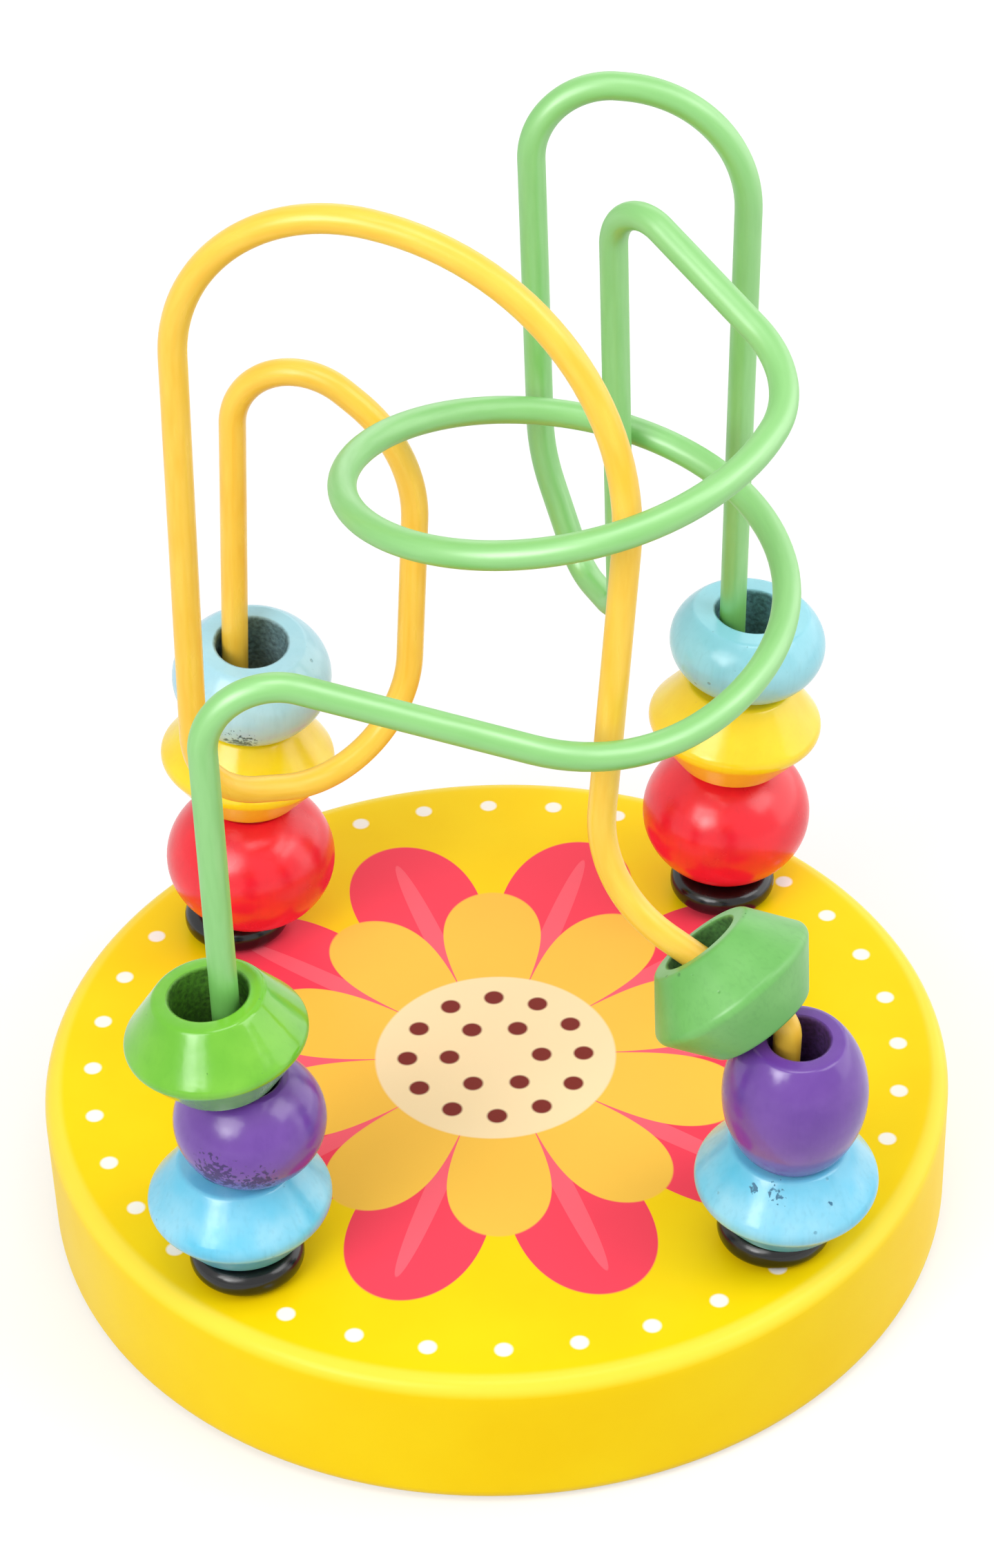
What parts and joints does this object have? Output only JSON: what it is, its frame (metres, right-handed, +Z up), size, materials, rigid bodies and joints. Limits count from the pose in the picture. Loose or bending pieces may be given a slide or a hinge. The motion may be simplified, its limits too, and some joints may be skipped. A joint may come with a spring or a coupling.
{
  "type": "bead maze toy",
  "caption": "Small wooden bead maze: a round base with bent wire tracks standing in it, and coloured wooden beads that slide and spin along the wires.",
  "frame": {"origin": "centre of the round base's underside, on the surface that the toy stands on", "axes": "+Z up, -Y towards the front of the toy, +X to the right seen from the front"},
  "size_m": [0.09, 0.09, 0.1146],
  "materials": {
    "base_yellow_paint": "satin yellow paint on wood",
    "yellow_wire_coating": "satin yellow coating on steel wire",
    "green_wire_coating": "satin light green coating on steel wire",
    "black_collar": "glossy black",
    "red_bead_paint": "gloss red paint on wood",
    "yellow_bead_paint": "gloss yellow paint on wood",
    "pale_blue_bead_paint": "gloss pale blue paint on wood",
    "sky_blue_bead_paint": "gloss sky blue paint on wood",
    "purple_bead_paint": "gloss purple paint on wood",
    "green_bead_paint": "gloss green paint on wood"
  },
  "bodies": {
    "frame": {"base_disc": "base_yellow_paint", "yellow_wire": "yellow_wire_coating", "green_wire": "green_wire_coating", "collar_left_back": "black_collar", "collar_right_back": "black_collar", "collar_left_front": "black_collar", "collar_right_front": "black_collar"},
    "red_ball_left_back": {"red_ball_left_back": "red_bead_paint"},
    "yellow_disc_left_back": {"yellow_disc_left_back": "yellow_bead_paint"},
    "blue_rondelle_left_back": {"blue_rondelle_left_back": "pale_blue_bead_paint"},
    "red_ball_right_back": {"red_ball_right_back": "red_bead_paint"},
    "yellow_disc_right_back": {"yellow_disc_right_back": "yellow_bead_paint"},
    "blue_rondelle_right_back": {"blue_rondelle_right_back": "pale_blue_bead_paint"},
    "blue_saucer_left_front": {"blue_saucer_left_front": "sky_blue_bead_paint"},
    "purple_round_left_front": {"purple_round_left_front": "purple_bead_paint"},
    "green_bicone_left_front": {"green_bicone_left_front": "green_bead_paint"},
    "blue_saucer_right_front": {"blue_saucer_right_front": "sky_blue_bead_paint"},
    "purple_oval_right_front": {"purple_oval_right_front": "purple_bead_paint"},
    "green_bicone_right_front": {"green_bicone_right_front": "green_bead_paint"}
  },
  "joints": [
    {"name": "red_ball_left_back_slide", "type": "slide", "parent": "frame", "child": "red_ball_left_back", "axis": [0.0559, 0, 0.9984], "range_m": [0, 0.005]},
    {"name": "yellow_disc_left_back_slide", "type": "slide", "parent": "red_ball_left_back", "child": "yellow_disc_left_back", "axis": [0.0559, 0, 0.9984], "range_m": [0, 0.007]},
    {"name": "blue_rondelle_left_back_slide", "type": "slide", "parent": "yellow_disc_left_back", "child": "blue_rondelle_left_back", "axis": [0.0559, 0, 0.9984], "range_m": [0, 0.01]},
    {"name": "red_ball_right_back_slide", "type": "slide", "parent": "frame", "child": "red_ball_right_back", "axis": [0.0194, 0, 0.9998], "range_m": [0, 0.01]},
    {"name": "yellow_disc_right_back_slide", "type": "slide", "parent": "red_ball_right_back", "child": "yellow_disc_right_back", "axis": [0.0194, 0, 0.9998], "range_m": [0, 0.012]},
    {"name": "blue_rondelle_right_back_slide", "type": "slide", "parent": "yellow_disc_right_back", "child": "blue_rondelle_right_back", "axis": [0.0194, 0, 0.9998], "range_m": [0, 0.018]},
    {"name": "blue_saucer_left_front_slide", "type": "slide", "parent": "frame", "child": "blue_saucer_left_front", "axis": [0, 0, 1], "range_m": [0, 0.006]},
    {"name": "purple_round_left_front_slide", "type": "slide", "parent": "blue_saucer_left_front", "child": "purple_round_left_front", "axis": [0, 0, 1], "range_m": [0, 0.008]},
    {"name": "green_bicone_left_front_slide", "type": "slide", "parent": "purple_round_left_front", "child": "green_bicone_left_front", "axis": [0, 0, 1], "range_m": [0, 0.012]},
    {"name": "blue_saucer_right_front_spin", "type": "hinge", "parent": "frame", "child": "blue_saucer_right_front", "pos_m": [0.02679, -0.02667, 0.02353], "axis": [0.0249, -0.0427, 0.9988], "continuous": true},
    {"name": "purple_oval_right_front_spin", "type": "hinge", "parent": "frame", "child": "purple_oval_right_front", "pos_m": [0.02725, -0.02797, 0.03518], "axis": [0.0249, -0.0427, 0.9988], "continuous": true},
    {"name": "green_bicone_right_front_slide", "type": "slide", "parent": "frame", "child": "green_bicone_right_front", "axis": [-0.8058, 0.39, 0.4457], "range_m": [0, 0.01]}
  ]
}
